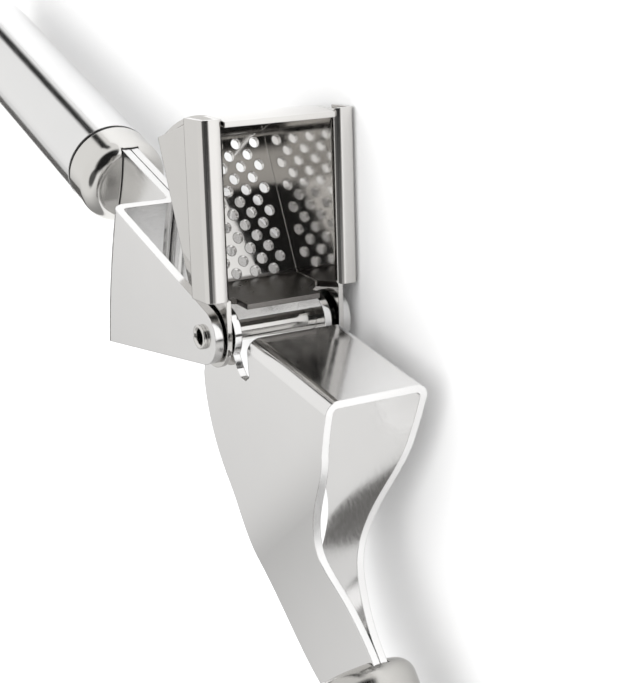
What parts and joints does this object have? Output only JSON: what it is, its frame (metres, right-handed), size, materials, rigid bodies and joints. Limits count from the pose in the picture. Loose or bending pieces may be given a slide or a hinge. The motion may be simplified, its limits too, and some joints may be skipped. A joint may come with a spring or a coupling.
{
  "type": "garlic press",
  "caption": "Open garlic press: a swing-out perforated hopper and a folded pressing lever turn on a hollow rivet between two cheeks, with round tube handles.",
  "frame": {"origin": "middle of the pivot rivet, on the press's middle plane", "axes": "+Z along the pivot, up when the press lies on its side; -X along the lower lever's handle; +Y towards the swung-out hopper"},
  "size_m": [0.3065, 0.1472, 0.0326],
  "materials": {
    "lever_sheet": "pressed stainless sheet, bright satin",
    "hopper_sheet": "polished stainless sheet",
    "rivet_steel": "polished stainless",
    "polished_steel": "mirror polished stainless",
    "satin_tube": "fine satin stainless tube",
    "seal": "black ring"
  },
  "bodies": {
    "lower_lever": {"cheek_left": "lever_sheet", "cheek_right": "lever_sheet", "pivot_rivet": "rivet_steel", "lower_ferrule": "polished_steel", "lower_seal_ring": "seal", "lower_tube": "satin_tube", "lower_end_cap": "polished_steel", "lower_lock_pin": "rivet_steel"},
    "hopper": {"hopper_tray": "hopper_sheet", "hopper_end_wall": "hopper_sheet"},
    "press_lever": {"press_channel": "lever_sheet", "upper_ferrule": "polished_steel", "upper_seal_ring": "seal", "upper_tube": "satin_tube", "upper_end_cap": "polished_steel", "upper_lock_pin": "rivet_steel"}
  },
  "joints": [
    {"name": "hopper_swing", "type": "hinge", "parent": "lower_lever", "child": "hopper", "pos_m": [0, 0, 0], "axis": [0, 0, 1], "range_deg": [-25, 69.5]},
    {"name": "lever_press", "type": "hinge", "parent": "hopper", "child": "press_lever", "pos_m": [0, 0, 0], "axis": [0, 0, 1], "range_deg": [-25, 122]}
  ]
}
